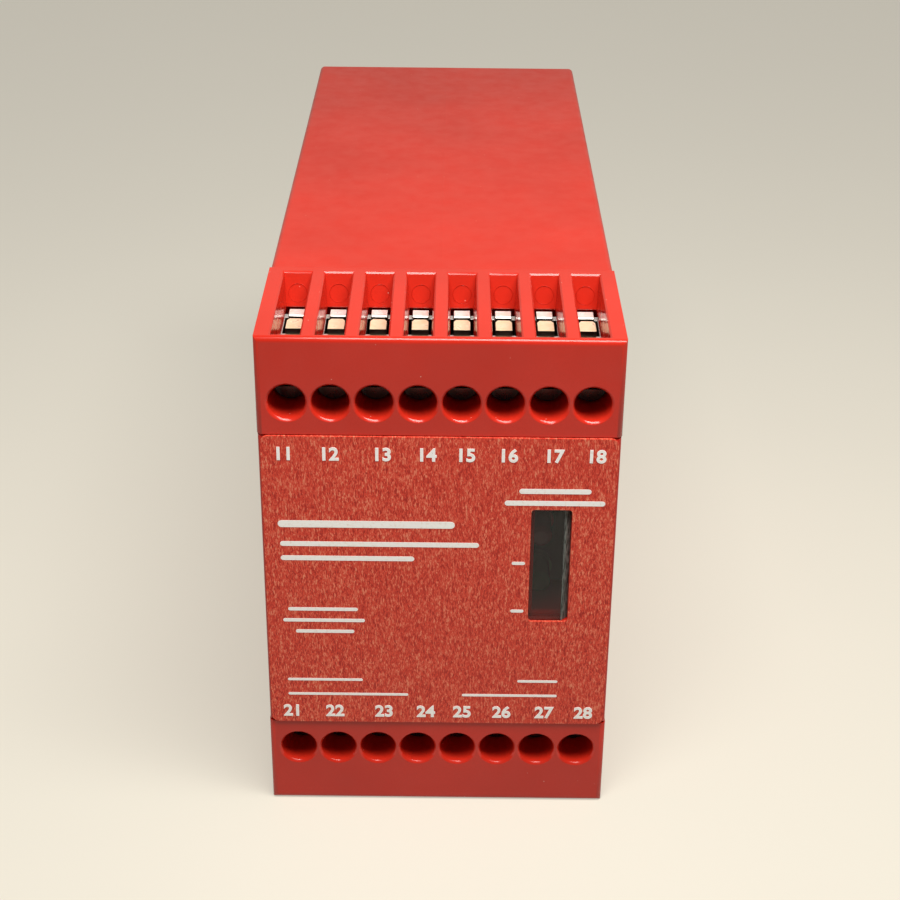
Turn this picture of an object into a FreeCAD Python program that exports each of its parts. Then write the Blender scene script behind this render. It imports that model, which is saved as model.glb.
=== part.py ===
"""Safety relay for a 35 mm mounting rail: a 45 mm wide moulded case with two eight-pole terminal blocks.

Every length is in millimetres. +X is right, +Y is back and +Z is up, seen from the front. The origin is
the centre of the case's outline on the surface that it stands on.
"""
import FreeCAD, Part
import os
import re

import Sketcher
from FreeCAD import Placement, Rotation, Vector

POLES = 8
SPRING_LEGS = 5
TOLERANCE = 0.01

SIZES = {
    # outline of the whole device
    "overall_width": 45.0,
    "overall_height": 69.1,
    "overall_depth": 118.0,
    # terminal blocks
    "block_height": 13.0,
    "block_depth": 22.4,
    "block_round": 0.7,
    "pole_margin": 1.14,
    "slot_width": 3.55,
    "slot_front": 1.15,
    "slot_rear_wall": 1.4,
    "slot_bevel": 0.22,
    "funnel_narrowing": 0.3,
    "funnel_rear_slope": 1.4,
    "funnel_front_slope": 0.35,
    "throat_length": 0.15,
    "chamber_width": 4.5,
    "chamber_rear_wall": 1.3,
    "screw_web": 2.2,
    "access_radius": 2.31,
    "access_land": 0.12,
    "spigot_length": 1.5,
    "spigot_height": 8.0,
    "spigot_gap": 0.1,
    # clamp screws
    "head_radius": 1.95,
    "head_height": 2.0,
    "head_gap": 0.1,
    "shank_radius": 1.45,
    "shank_gap": 0.2,
    "shank_end_gap": 0.3,
    "driver_slot_width": 0.6,
    "driver_slot_depth": 0.9,
    # clamp cages
    "cage_side_gap": 0.1,
    "cage_side_wall": 0.6,
    "cage_length": 7.5,
    "cage_front_wall": 1.3,
    "cage_rear_wall": 1.2,
    "cage_height": 6.5,
    "cage_bevel": 0.35,
    "cage_front_travel": 2.4,
    "cage_rear_travel": 1.7,
    "cage_roof_gap": 0.9,
    "cage_tail_gap": 0.2,
    "screw_rise": 3.15,
    "tongue_width": 2.1,
    "tongue_length": 2.2,
    "tongue_thickness": 0.8,
    "tongue_bevel": 0.2,
    "thread_gap": 0.05,
    # busbars
    "strip_thickness": 0.8,
    "strip_width": 2.2,
    "strip_tip_width": 1.5,
    "strip_shoulder": 0.6,
    "blade_setback": 4.5,
    "blade_rise": 0.1,
    "tab_width": 2.1,
    "tab_length": 3.2,
    "tail_inset": 1.0,
    "tail_overlap": 5.5,
    "tail_gap": 0.2,
    # sleeve-shaped main housing
    "housing_inset": 0.1,
    "housing_wall": 2.0,
    "housing_round": 0.8,
    "guide_setback": 9.6,
    "guide_width": 1.2,
    "guide_thickness": 1.0,
    "guide_gap": 0.1,
    # front cover, label plate and indicator window
    "cover_wall": 1.8,
    "cover_gap": 0.1,
    "cover_round": 0.4,
    "cover_tongue_length": 5.0,
    "cover_tongue_height": 26.0,
    "label_side_gap": 0.3,
    "label_end_gap": 0.1,
    "label_thickness": 0.4,
    "label_proud": 0.25,
    "label_round": 1.0,
    "window_inset": 10.8,
    "window_width": 5.15,
    "window_rise": 3.075,
    "window_height": 16.65,
    "window_ledge": 0.5,
    "window_round": 0.45,
    "window_collar_wall": 0.9,
    "window_collar_reach": 1.1,
    "lens_thickness": 1.0,
    "lens_recess": 0.3,
    "lens_gap": 0.05,
    "lens_bevel": 0.8,
    # indicator board with its two lamps
    "lamp_board_front": 12.0,
    "lamp_board_side_gap": 1.6,
    "lamp_board_end_gap": 1.15,
    "lamp_post_side": 3.6,
    "lamp_post_inset": 3.0,
    "lamp_radius": 1.5,
    "lamp_flange": 0.4,
    "lamp_flange_thickness": 1.0,
    "lamp_length": 5.6,
    "lamp_bevel": 0.5,
    "lamp_inset": 1.7,
    "power_lamp_rise": 8.7,
    "output_lamp_rise": 1.7,
    # the two circuit boards that carry the terminals
    "board_thickness": 1.6,
    "board_side_gap": 0.4,
    "board_setback": 2.1,
    "board_rear_gap": 4.5,
    # parts on the boards
    "relay_width": 13.0,
    "relay_length": 40.0,
    "relay_height": 16.5,
    "relay_bevel": 0.5,
    "relay_spacing": 20.0,
    "relay_setback": 17.5,
    "capacitor_radius": 6.5,
    "capacitor_length": 20.0,
    "capacitor_bead": 0.5,
    "capacitor_setback": 37.5,
    "capacitor_column": -11.0,
    "fuse_radius": 4.2,
    "fuse_height": 7.8,
    "fuse_setback": 13.5,
    "fuse_column": -12.0,
    "varistor_radius": 5.0,
    "varistor_thickness": 4.0,
    "varistor_setback": 25.5,
    "varistor_column": -12.0,
    "rectifier_side": 10.0,
    "rectifier_height": 4.5,
    "rectifier_corner": 1.8,
    "rectifier_setback": 21.5,
    "rectifier_column": 2.0,
    "header_width": 22.0,
    "header_height": 2.5,
    "header_column": 0.0,
    # rear base with the seat for the mounting rail
    "base_depth": 17.75,
    "base_wall": 2.0,
    "rail_width": 35.0,
    "rail_play": 0.4,
    "rail_brim": 1.0,
    "rail_brim_play": 0.2,
    "channel_depth": 7.5,
    "seat_relief": 0.3,
    "seat_margin": 0.3,
    "hook_reach": 2.2,
    "hook_lead": 1.2,
    "snap_width": 6.0,
    "snap_length": 2.5,
    "snap_setback": 1.5,
    "snap_spacing": 13.0,
    "snap_gap": 0.15,
    # foot latch and its spring
    "latch_width": 16.0,
    "latch_thickness": 4.05,
    "latch_gap": 0.15,
    "latch_low": 0.6,
    "latch_reach": 2.0,
    "latch_window_width": 5.2,
    "latch_window_low": 4.0,
    "latch_web": 2.85,
    "latch_pull_width": 6.0,
    "latch_pull_height": 1.6,
    "notch_height": 3.5,
    "shelf_low": 4.3,
    "shelf_thickness": 1.7,
    "shelf_side_gap": 0.3,
    "spring_reach": 1.7,
    "spring_strip": 0.3,
    "spring_width": 2.6,
    "spring_bend": 0.12,
}

doc = FreeCAD.newDocument("SafetyRelay")
sheet = doc.addObject("Spreadsheet::Sheet", "Sizes")
for row, (alias, number) in enumerate(SIZES.items(), 1):
    sheet.set(f"A{row}", alias)
    sheet.set(f"B{row}", str(number))
    sheet.setAlias(f"B{row}", alias)
doc.recompute()


def bound(text):
    """Turn plain size names in an expression into references to the sheet."""
    return re.sub(r"[a-z][a-z_]+", lambda word: "Sizes." + word[0] if word[0] in SIZES else word[0], text)


def value(text):
    """Work an expression of size names out to a number."""
    return float(sheet.evalExpression(bound(text)))


# Places that several pieces share, as expressions of the sizes above.
BLOCK_FRONT = "(label_proud - overall_depth / 2)"
POLE_PITCH = f"((overall_width - 2 * pole_margin) / {POLES})"
FIRST_POLE = f"(-{POLE_PITCH} * {POLES - 1} / 2)"
SLOT_REAR = "(block_depth - slot_rear_wall)"
CHAMBER_REAR = "(block_depth - chamber_rear_wall)"
CAGE_REAR = f"({CHAMBER_REAR} - cage_rear_travel)"
CAGE_FRONT = f"({CAGE_REAR} - cage_length)"
CHAMBER_FRONT = f"({CAGE_FRONT} - cage_front_travel)"
BLADE_FRONT = f"({CAGE_REAR} - blade_setback)"
HEAD_SEAT = f"({CHAMBER_FRONT} - screw_web)"
HEAD_REAR = f"({HEAD_SEAT} - head_gap)"
HEAD_FRONT = f"({HEAD_REAR} - head_height)"
TAIL_TOP = "(block_height - tail_inset)"
BOARD_FACE = f"({TAIL_TOP} + strip_thickness)"
CAGE_LOW = f"({TAIL_TOP} - cage_tail_gap)"
CAGE_TOP = f"({CAGE_LOW} - cage_height)"
CHAMBER_ROOF = f"({CAGE_TOP} - cage_roof_gap)"
FUNNEL_DEPTH = f"({CHAMBER_ROOF} - throat_length)"
BLADE_TOP = f"({CHAMBER_ROOF} - blade_rise)"
SCREW_DEPTH = f"({CAGE_LOW} - screw_rise)"
HOUSING_HALF = "(overall_width / 2 - housing_inset)"
INSIDE_HALF = f"({HOUSING_HALF} - housing_wall)"
PLUG_HALF = f"({INSIDE_HALF} - spigot_gap)"
BOARD_FRONT = "(block_depth + board_setback)"
SLEEVE_LENGTH = "(overall_depth - label_proud - block_depth)"
BASE_FRONT = "(overall_depth - label_proud - base_depth)"
BASE_REAR = "(overall_depth - label_proud)"
CHANNEL_FLOOR = f"({BASE_REAR} - channel_depth)"
CHANNEL_LOW = "(overall_height / 2 - rail_width / 2 - rail_play / 2)"
CHANNEL_HIGH = "(overall_height / 2 + rail_width / 2 + rail_play / 2)"
HOOK_FACE = f"({CHANNEL_FLOOR} + rail_brim + rail_brim_play)"
COVER_FRONT = "(label_thickness - label_proud)"
COVER_LOW = "(block_height + cover_gap)"
COVER_HIGH = "(overall_height - block_height - cover_gap)"
LAMP_BOARD_WIDTH = f"(2 * {HOUSING_HALF} - 2 * cover_wall - 2 * lamp_board_side_gap)"
LAMP_BOARD_HEIGHT = f"({COVER_HIGH} - {COVER_LOW} - 2 * cover_wall - 2 * lamp_board_end_gap)"
WINDOW_LEFT = f"({HOUSING_HALF} - window_inset)"
WINDOW_RIGHT = f"({WINDOW_LEFT} + window_width)"
WINDOW_LOW = "(overall_height / 2 + window_rise - window_height / 2)"
WINDOW_HIGH = f"({WINDOW_LOW} + window_height)"
LATCH_FRONT = HOOK_FACE
LATCH_REAR = f"({LATCH_FRONT} + latch_thickness)"
SPRING_AXIS = f"({LATCH_FRONT} + latch_thickness / 2)"
SHELF_TOP = "(shelf_low + shelf_thickness)"
LATCH_WINDOW_TOP = f"({CHANNEL_LOW} - latch_web)"

pieces = []


def new_body(label, level="0", turned=False):
    """Start a piece: its origin lies on the front face's plane, at a level, or turned over about Y."""
    body = doc.addObject("PartDesign::Body", label)
    body.Label = label
    if turned:
        body.Placement = Placement(Vector(0, 0, 0), Rotation(Vector(0, 1, 0), 180))
    body.setExpression("Placement.Base.y", bound(BLOCK_FRONT))
    body.setExpression("Placement.Base.z", bound(level))
    pieces.append(body)
    return body


def origin_item(body, role):
    return next(item for item in body.Origin.OriginFeatures if item.Role == role)


def new_sketch(body, name, plane, offset):
    """Sketch parallel to an origin plane. The offset runs along +Z, -Y or +X for XY, XZ or YZ."""
    sketch = body.newObject("Sketcher::SketchObject", name)
    sketch.AttachmentSupport = [(origin_item(body, plane), "")]
    sketch.MapMode = "FlatFace"
    sketch.setExpression("AttachmentOffset.Base.z", bound(offset))
    return sketch


def outline(body, name, plane, points, offset="0"):
    """Closed outline of straight lines, with each corner's two places bound to the sheet."""
    sketch = new_sketch(body, name, plane, offset)
    add_outline(sketch, points)
    return sketch


def add_outline(sketch, points):
    first = sketch.GeometryCount
    count = len(points)
    corners = [Vector(value(across), value(up), 0) for across, up in points]
    sketch.addGeometry([Part.LineSegment(corners[i], corners[(i + 1) % count]) for i in range(count)], False)
    for i in range(count):
        sketch.addConstraint(Sketcher.Constraint("Coincident", first + i, 2, first + (i + 1) % count, 1))
    for i, place in enumerate(points):
        for kind, text in zip(("DistanceX", "DistanceY"), place):
            constraint = sketch.addConstraint(Sketcher.Constraint(kind, -1, 1, first + i, 1, value(text)))
            sketch.setExpression(f"Constraints[{constraint}]", bound(text))


def rectangle(body, name, plane, across, up, offset="0"):
    return outline(body, name, plane, box_points(across, up), offset)


def box_points(across, up):
    return [(across[0], up[0]), (across[1], up[0]), (across[1], up[1]), (across[0], up[1])]


def circles(body, name, plane, centres, radius, offset="0"):
    """Circles of one radius, with each centre bound to the sheet."""
    sketch = new_sketch(body, name, plane, offset)
    for across, up in centres:
        centre = Vector(value(across), value(up), 0)
        index = sketch.addGeometry(Part.Circle(centre, Vector(0, 0, 1), value(radius)), False)
        for kind, text in (("DistanceX", across), ("DistanceY", up)):
            constraint = sketch.addConstraint(Sketcher.Constraint(kind, -1, 1, index, 3, value(text)))
            sketch.setExpression(f"Constraints[{constraint}]", bound(text))
        constraint = sketch.addConstraint(Sketcher.Constraint("Radius", index, value(radius)))
        sketch.setExpression(f"Constraints[{constraint}]", bound(radius))
    return sketch


def extrude(kind, body, name, sketch, length, flip=False, both_ways=False):
    feature = body.newObject(f"PartDesign::{kind}", name)
    feature.Profile = sketch
    feature.setExpression("Length", bound(length))
    feature.Reversed = flip
    feature.Midplane = both_ways
    return feature


def pad(body, name, sketch, length, flip=False, both_ways=False):
    return extrude("Pad", body, name, sketch, length, flip, both_ways)


def pocket(body, name, sketch, length, flip=False, both_ways=False):
    return extrude("Pocket", body, name, sketch, length, flip, both_ways)


def revolve(body, name, sketch, edge):
    """Turn a sketch once round one of its own edges."""
    feature = body.newObject("PartDesign::Revolution", name)
    feature.Profile = sketch
    feature.ReferenceAxis = (sketch, [f"Edge{edge}"])
    feature.Angle = 360
    return feature


def pole_row(body, features):
    """Repeat features once for each pole, along X."""
    pattern = body.newObject("PartDesign::LinearPattern", "PoleRow")
    pattern.Originals = features
    pattern.Direction = (origin_item(body, "X_Axis"), [""])
    pattern.setExpression("Length", bound(f"{POLE_PITCH} * {POLES - 1}"))
    pattern.Occurrences = POLES
    body.Tip = pattern
    return pattern


def round_edges(body, name, radius, chosen, kind="Fillet"):
    """Round or chamfer the edges of the body so far that the test picks out."""
    doc.recompute()
    base = body.Tip
    names = [f"Edge{i}" for i, edge in enumerate(base.Shape.Edges, 1) if chosen(edge)]
    feature = body.newObject(f"PartDesign::{kind}", name)
    feature.Base = (base, names)
    feature.setExpression("Radius" if kind == "Fillet" else "Size", bound(radius))
    return feature


def lies_at(edge, axis, text):
    """True for an edge that lies in one plane across an axis."""
    place = value(text)
    box = edge.BoundBox
    low, high = getattr(box, f"{axis}Min"), getattr(box, f"{axis}Max")
    return abs(low - place) < TOLERANCE and abs(high - place) < TOLERANCE


def runs_along(edge, axis):
    """True for a straight edge that runs along an axis."""
    if edge.Curve.TypeId != "Part::GeomLine":
        return False
    return abs(abs(getattr(edge.Curve.Direction, axis)) - 1) < TOLERANCE


def either_side(half):
    return f"-({half})", half


def terminal_block(label, level, turned):
    """Moulded block with, for each pole, a funnel for the wire and a hole for the screwdriver."""
    body = new_body(label, level, turned)
    shell = rectangle(body, "BlockOutline", "XY_Plane", either_side("overall_width / 2"),
                      ("0", "block_depth"), "-block_height")
    pad(body, "Block", shell, "block_height")
    spigot = rectangle(body, "SpigotOutline", "XZ_Plane",
                       either_side(PLUG_HALF),
                       ("-housing_wall - spigot_gap - spigot_height", "-housing_wall - spigot_gap"),
                       "-block_depth")
    pad(body, "RearSpigot", spigot, "spigot_length", flip=True)
    round_edges(body, "OuterRounding", "block_round", lambda edge: (
        lies_at(edge, "Y", "0") and (lies_at(edge, "Z", "0") or runs_along(edge, "z"))))

    def across(half):
        return f"{FIRST_POLE} - {half}", f"{FIRST_POLE} + {half}"

    flare = rectangle(body, "FunnelFlare", "XY_Plane", across("(slot_width / 2 + slot_bevel)"),
                      ("slot_front - slot_bevel", f"{SLOT_REAR} + slot_bevel"))
    mouth = rectangle(body, "FunnelMouth", "XY_Plane", across("slot_width / 2"),
                      ("slot_front", SLOT_REAR), "-slot_bevel")
    throat_width = across("(slot_width / 2 - funnel_narrowing)")
    throat_rear = f"{SLOT_REAR} - funnel_rear_slope"
    throat = rectangle(body, "FunnelThroat", "XY_Plane", throat_width,
                       ("slot_front + funnel_front_slope", throat_rear), f"-{FUNNEL_DEPTH}")
    funnel = body.newObject("PartDesign::SubtractiveLoft", "Funnel")
    funnel.Profile = flare
    funnel.Sections = [mouth, throat]
    funnel.Ruled = True
    passage = rectangle(body, "PassageOutline", "XY_Plane", throat_width,
                        (CHAMBER_FRONT, throat_rear), f"-{FUNNEL_DEPTH}")
    passage = pocket(body, "Passage", passage, "throat_length + cage_roof_gap")
    chamber = rectangle(body, "ChamberOutline", "XY_Plane", across("chamber_width / 2"),
                        (CHAMBER_FRONT, CHAMBER_REAR), "-block_height")
    chamber = pocket(body, "Chamber", chamber, f"block_height - {CHAMBER_ROOF}", flip=True)
    access = circles(body, "AccessCircle", "XZ_Plane", [(FIRST_POLE, f"-{SCREW_DEPTH}")], "access_radius")
    access = pocket(body, "Access", access, HEAD_SEAT)
    shank = circles(body, "ShankCircle", "XZ_Plane", [(FIRST_POLE, f"-{SCREW_DEPTH}")],
                    "shank_radius + shank_gap")
    shank = pocket(body, "ShankPassage", shank, f"{CHAMBER_FRONT} + head_gap")
    tail = rectangle(body, "TailOutline", "XZ_Plane", across("(strip_width / 2 + tail_gap)"),
                     ("-block_height", f"-{TAIL_TOP} + tail_gap"), f"-{CHAMBER_REAR}")
    tail = pocket(body, "TailPassage", tail, "chamber_rear_wall + spigot_length")
    pole_row(body, [funnel, passage, chamber, access, shank, tail])
    round_edges(body, "AccessBevel", f"({POLE_PITCH} - access_land) / 2 - access_radius", lambda edge: (
        edge.Curve.TypeId == "Part::GeomCircle" and lies_at(edge, "Y", "0")), "Chamfer")
    return body


def pole_place(pole):
    return f"({POLE_PITCH} * {pole - (POLES - 1) / 2})"


def clamp_screw(label, level, turned, pole):
    """Slotted screw that stays in place while it turns, and draws its cage along its shank."""
    body = new_body(label, level, turned)
    place = pole_place(pole)
    shank_end = f"{BLADE_FRONT} - shank_end_gap"
    half = outline(body, "ScrewProfile", "XY_Plane", [
        (place, HEAD_FRONT), (place, shank_end), (f"{place} + shank_radius", shank_end),
        (f"{place} + shank_radius", HEAD_REAR), (f"{place} + head_radius", HEAD_REAR),
        (f"{place} + head_radius", HEAD_FRONT)], f"-{SCREW_DEPTH}")
    revolve(body, "Screw", half, 1)
    slot = rectangle(body, "DriverSlotOutline", "XZ_Plane",
                     (f"{place} - head_radius - head_gap", f"{place} + head_radius + head_gap"),
                     (f"-{SCREW_DEPTH} - driver_slot_width / 2", f"-{SCREW_DEPTH} + driver_slot_width / 2"),
                     f"-{HEAD_FRONT}")
    pocket(body, "DriverSlot", slot, "driver_slot_depth")
    return body


def clamp_cage(label, level, turned, pole):
    """Folded metal loop round the busbar: its front wall is threaded, and a tongue lies on its rear wall."""
    body = new_body(label, level, turned)
    place = pole_place(pole)
    half = "(chamber_width / 2 - cage_side_gap)"
    loop = rectangle(body, "LoopOutline", "XY_Plane", (f"{place} - {half}", f"{place} + {half}"),
                     (CAGE_FRONT, CAGE_REAR), f"-{CAGE_LOW}")
    add_outline(loop, box_points(
        (f"{place} - {half} + cage_side_wall", f"{place} + {half} - cage_side_wall"),
        (f"{CAGE_FRONT} + cage_front_wall", f"{CAGE_REAR} - cage_rear_wall")))
    pad(body, "Loop", loop, "cage_height")
    round_edges(body, "LoopBevel", "cage_bevel", lambda edge: (
        runs_along(edge, "z") and abs(abs(edge.CenterOfMass.x - value(place)) - value(half)) < TOLERANCE),
        "Chamfer")
    tongue = rectangle(body, "TongueOutline", "XY_Plane",
                       (f"{place} - tongue_width / 2", f"{place} + tongue_width / 2"),
                       (f"{CAGE_REAR} - tongue_length", CAGE_REAR), f"-{CAGE_TOP}")
    pad(body, "Tongue", tongue, "tongue_thickness")
    round_edges(body, "TongueBevel", "tongue_bevel", lambda edge: (
        runs_along(edge, "x") and lies_at(edge, "Z", f"tongue_thickness - {CAGE_TOP}")), "Chamfer")
    thread = circles(body, "ThreadCircle", "XZ_Plane", [(place, f"-{SCREW_DEPTH}")],
                     "shank_radius + thread_gap", f"-{CAGE_FRONT}")
    pocket(body, "Thread", thread, "cage_front_wall")
    return body


def busbars(label, level, turned):
    """Bent contact strips: a tab over each cage, a blade inside it, and a tail that ends on the board."""
    body = new_body(label, level, turned)
    tip = "(strip_tip_width / 2)"
    edge = "(strip_width / 2)"
    shoulder = f"-{BLADE_TOP} - strip_shoulder"
    blade = outline(body, "BladeOutline", "XZ_Plane", [
        (f"{FIRST_POLE} - {edge}", f"-{BOARD_FACE}"), (f"{FIRST_POLE} + {edge}", f"-{BOARD_FACE}"),
        (f"{FIRST_POLE} + {edge}", shoulder), (f"{FIRST_POLE} + {tip}", f"-{BLADE_TOP}"),
        (f"{FIRST_POLE} - {tip}", f"-{BLADE_TOP}"), (f"{FIRST_POLE} - {edge}", shoulder)], f"-{BLADE_FRONT}")
    blade = pad(body, "Blade", blade, "strip_thickness", flip=True)
    blade_rear = f"({BLADE_FRONT} + strip_thickness)"
    side = "(tab_width / 2)"
    tab = outline(body, "TabOutline", "XY_Plane", [
        (f"{FIRST_POLE} - {side}", f"{blade_rear} - tab_length"),
        (f"{FIRST_POLE} + {side}", f"{blade_rear} - tab_length"),
        (f"{FIRST_POLE} + {side}", f"{blade_rear} - strip_shoulder"), (f"{FIRST_POLE} + {tip}", blade_rear),
        (f"{FIRST_POLE} - {tip}", blade_rear), (f"{FIRST_POLE} - {side}", f"{blade_rear} - strip_shoulder")],
        f"-{BLADE_TOP} - strip_thickness")
    tab = pad(body, "Tab", tab, "strip_thickness")
    tail = rectangle(body, "TailOutline", "XY_Plane", (f"{FIRST_POLE} - {edge}", f"{FIRST_POLE} + {edge}"),
                     (BLADE_FRONT, f"{BOARD_FRONT} + tail_overlap"), f"-{BOARD_FACE}")
    tail = pad(body, "Tail", tail, "strip_thickness")
    pole_row(body, [blade, tab, tail])
    return body


def main_housing():
    """Sleeve between the terminal blocks and the rear base, with ribs that guide the two boards."""
    body = new_body("main_housing")
    outer = rectangle(body, "SleeveOutline", "XZ_Plane", either_side(HOUSING_HALF),
                      ("0", "overall_height"), "-block_depth")
    pad(body, "Sleeve", outer, SLEEVE_LENGTH, flip=True)
    round_edges(body, "CornerRounding", "housing_round", lambda edge: runs_along(edge, "y"))
    inner = rectangle(body, "InsideOutline", "XZ_Plane", either_side(INSIDE_HALF),
                      ("housing_wall", "overall_height - housing_wall"), "-block_depth")
    pocket(body, "Inside", inner, SLEEVE_LENGTH)
    guides = new_sketch(body, "GuideOutline", "XZ_Plane", "-block_depth - guide_setback")
    board_low = f"({BOARD_FACE} - guide_gap)"
    board_high = f"({BOARD_FACE} + board_thickness + guide_gap)"
    for side in ("-1", "1"):
        for level in (f"{board_low} - guide_thickness", board_high,
                      f"overall_height - {board_low}", f"overall_height - {board_high} - guide_thickness"):
            across = (f"{side} * ({INSIDE_HALF} - guide_width)", f"{side} * {INSIDE_HALF}")
            add_outline(guides, box_points(across, (level, f"{level} + guide_thickness")))
    pad(body, "BoardGuides", guides, f"{BASE_FRONT} - board_rear_gap - block_depth - guide_setback",
        flip=True)
    windows = new_sketch(body, "SnapWindowOutline", "YZ_Plane", "0")
    for place in snap_places():
        add_outline(windows, box_points(
            (f"{BASE_FRONT} + snap_setback - snap_gap", f"{BASE_FRONT} + snap_setback + snap_length"),
            (f"{place} - snap_width / 2 - snap_gap", f"{place} + snap_width / 2 + snap_gap")))
    pocket(body, "SnapWindows", windows, "overall_width", both_ways=True)
    channel = rectangle(body, "ChannelOutline", "YZ_Plane", (CHANNEL_FLOOR, BASE_REAR),
                        (CHANNEL_LOW, CHANNEL_HIGH))
    pocket(body, "RailChannel", channel, "overall_width", both_ways=True)
    slot = rectangle(body, "LatchSlotOutline", "XY_Plane", either_side("latch_width / 2 + latch_gap"),
                     (f"{LATCH_FRONT} - latch_gap", BASE_REAR))
    pocket(body, "LatchSlot", slot, "housing_wall", flip=True)
    return body


def snap_places():
    return ("(overall_height / 2 - snap_spacing)", "(overall_height / 2 + snap_spacing)")


def front_cover():
    """Cap between the terminal blocks that carries the label plate, the window and the lamp board."""
    body = new_body("front_cover")
    outer = rectangle(body, "CoverOutline", "XZ_Plane", either_side(HOUSING_HALF), (COVER_LOW, COVER_HIGH),
                      f"-{COVER_FRONT}")
    pad(body, "Cover", outer, f"block_depth - {COVER_FRONT}", flip=True)
    round_edges(body, "FrontRounding", "cover_round", lambda edge: lies_at(edge, "Y", COVER_FRONT))
    inner = rectangle(body, "CoverInside", "XZ_Plane", either_side(f"{HOUSING_HALF} - cover_wall"),
                      (f"{COVER_LOW} + cover_wall", f"{COVER_HIGH} - cover_wall"), "-block_depth")
    pocket(body, "Inside", inner, f"block_depth - {COVER_FRONT} - cover_wall", flip=True)

    wall_back = f"({COVER_FRONT} + cover_wall)"
    reach, wall = "window_collar_reach", "window_collar_wall"
    collar = rectangle(body, "CollarOutline", "XZ_Plane",
                       (f"{WINDOW_LEFT} - {reach} - {wall}", f"{WINDOW_RIGHT} + {reach} + {wall}"),
                       (f"{WINDOW_LOW} - {reach} - {wall}", f"{WINDOW_HIGH} + {reach} + {wall}"),
                       f"-{wall_back}")
    add_outline(collar, box_points((f"{WINDOW_LEFT} - {reach}", f"{WINDOW_RIGHT} + {reach}"),
                                   (f"{WINDOW_LOW} - {reach}", f"{WINDOW_HIGH} + {reach}")))
    pad(body, "LampCollar", collar, f"lamp_board_front - {wall_back} - guide_gap", flip=True)
    seat = rectangle(body, "LensSeatOutline", "XZ_Plane", (WINDOW_LEFT, WINDOW_RIGHT),
                     (WINDOW_LOW, WINDOW_HIGH), f"-{COVER_FRONT}")
    pocket(body, "LensSeat", seat, "lens_thickness + lens_recess - label_thickness")
    opening = rectangle(body, "WindowOutline", "XZ_Plane",
                        (f"{WINDOW_LEFT} + window_ledge", f"{WINDOW_RIGHT} - window_ledge"),
                        (f"{WINDOW_LOW} + window_ledge", f"{WINDOW_HIGH} - window_ledge"), f"-{COVER_FRONT}")
    pocket(body, "WindowOpening", opening, "cover_wall")

    posts = new_sketch(body, "PostOutline", "XZ_Plane", f"-{wall_back}")
    for across, up in post_places():
        add_outline(posts, box_points((f"{across} - lamp_post_side / 2", f"{across} + lamp_post_side / 2"),
                                      (f"{up} - lamp_post_side / 2", f"{up} + lamp_post_side / 2")))
    pad(body, "BoardPosts", posts, f"lamp_board_front - {wall_back}", flip=True)
    tongue_levels = ("overall_height / 2 - cover_tongue_height / 2",
                     "overall_height / 2 + cover_tongue_height / 2")
    for name, outside, length in (("Tongues", PLUG_HALF, "cover_tongue_length + cover_wall"),
                                  ("TongueBridges", f"({HOUSING_HALF} - cover_wall / 2)", "cover_wall")):
        sketch = new_sketch(body, f"{name}Outline", "XZ_Plane", "-block_depth + cover_wall")
        for side in ("-1", "1"):
            add_outline(sketch, box_points((f"{side} * ({PLUG_HALF} - cover_wall)", f"{side} * {outside}"),
                                           tongue_levels))
        pad(body, name, sketch, length, flip=True)
    return body


def post_places():
    side = f"({LAMP_BOARD_WIDTH} / 2 - lamp_post_inset)"
    rise = f"({LAMP_BOARD_HEIGHT} / 2 - lamp_post_inset)"
    return [(f"{sign} * {side}", f"overall_height / 2 + {way} * {rise}")
            for sign in (-1, 1) for way in (-1, 1)]


def label_plate():
    """Thin plate on the cover's face, cut out for the lens."""
    body = new_body("label_plate")
    half = f"({HOUSING_HALF} - label_side_gap)"
    rise = "(overall_height / 2 - block_height - label_end_gap)"
    plate = rectangle(body, "LabelOutline", "XZ_Plane", either_side(half),
                      (f"overall_height / 2 - {rise}", f"overall_height / 2 + {rise}"), "label_proud")
    pad(body, "Label", plate, "label_thickness", flip=True)
    round_edges(body, "CornerRounding", "label_round", lambda edge: runs_along(edge, "y"))
    cutout = rectangle(body, "WindowOutline", "XZ_Plane", (WINDOW_LEFT, WINDOW_RIGHT),
                       (WINDOW_LOW, WINDOW_HIGH), "label_proud")
    pocket(body, "Window", cutout, "label_thickness")
    round_edges(body, "WindowRounding", "window_round", lambda edge: (
        runs_along(edge, "y") and abs(edge.CenterOfMass.x) < value(f"{half} - label_round")
        and abs(edge.CenterOfMass.z - value("overall_height / 2")) < value(f"{rise} - label_round")))
    return body


def window_lens():
    """Smoked lens with one bevelled long edge, seated on the ledge round the window."""
    body = new_body("window_lens")
    left, right = f"{WINDOW_LEFT} + lens_gap", f"{WINDOW_RIGHT} - lens_gap"
    front = "(lens_recess - label_proud)"
    rear = f"({front} + lens_thickness)"
    lens = outline(body, "LensProfile", "XY_Plane", [
        (left, front), (f"{right} - lens_bevel", front), (right, f"{front} + lens_bevel"), (right, rear),
        (left, rear)], f"{WINDOW_LOW} + lens_gap")
    pad(body, "Lens", lens, "window_height - 2 * lens_gap")
    round_edges(body, "CornerRounding", "window_round",
                lambda edge: runs_along(edge, "y") and lies_at(edge, "X", left))
    return body


def lamp_board():
    body = new_body("indicator_board")
    board = rectangle(body, "BoardOutline", "XZ_Plane", either_side(f"{LAMP_BOARD_WIDTH} / 2"),
                      (f"overall_height / 2 - {LAMP_BOARD_HEIGHT} / 2",
                       f"overall_height / 2 + {LAMP_BOARD_HEIGHT} / 2"), "-lamp_board_front")
    pad(body, "Board", board, "board_thickness", flip=True)
    return body


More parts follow.
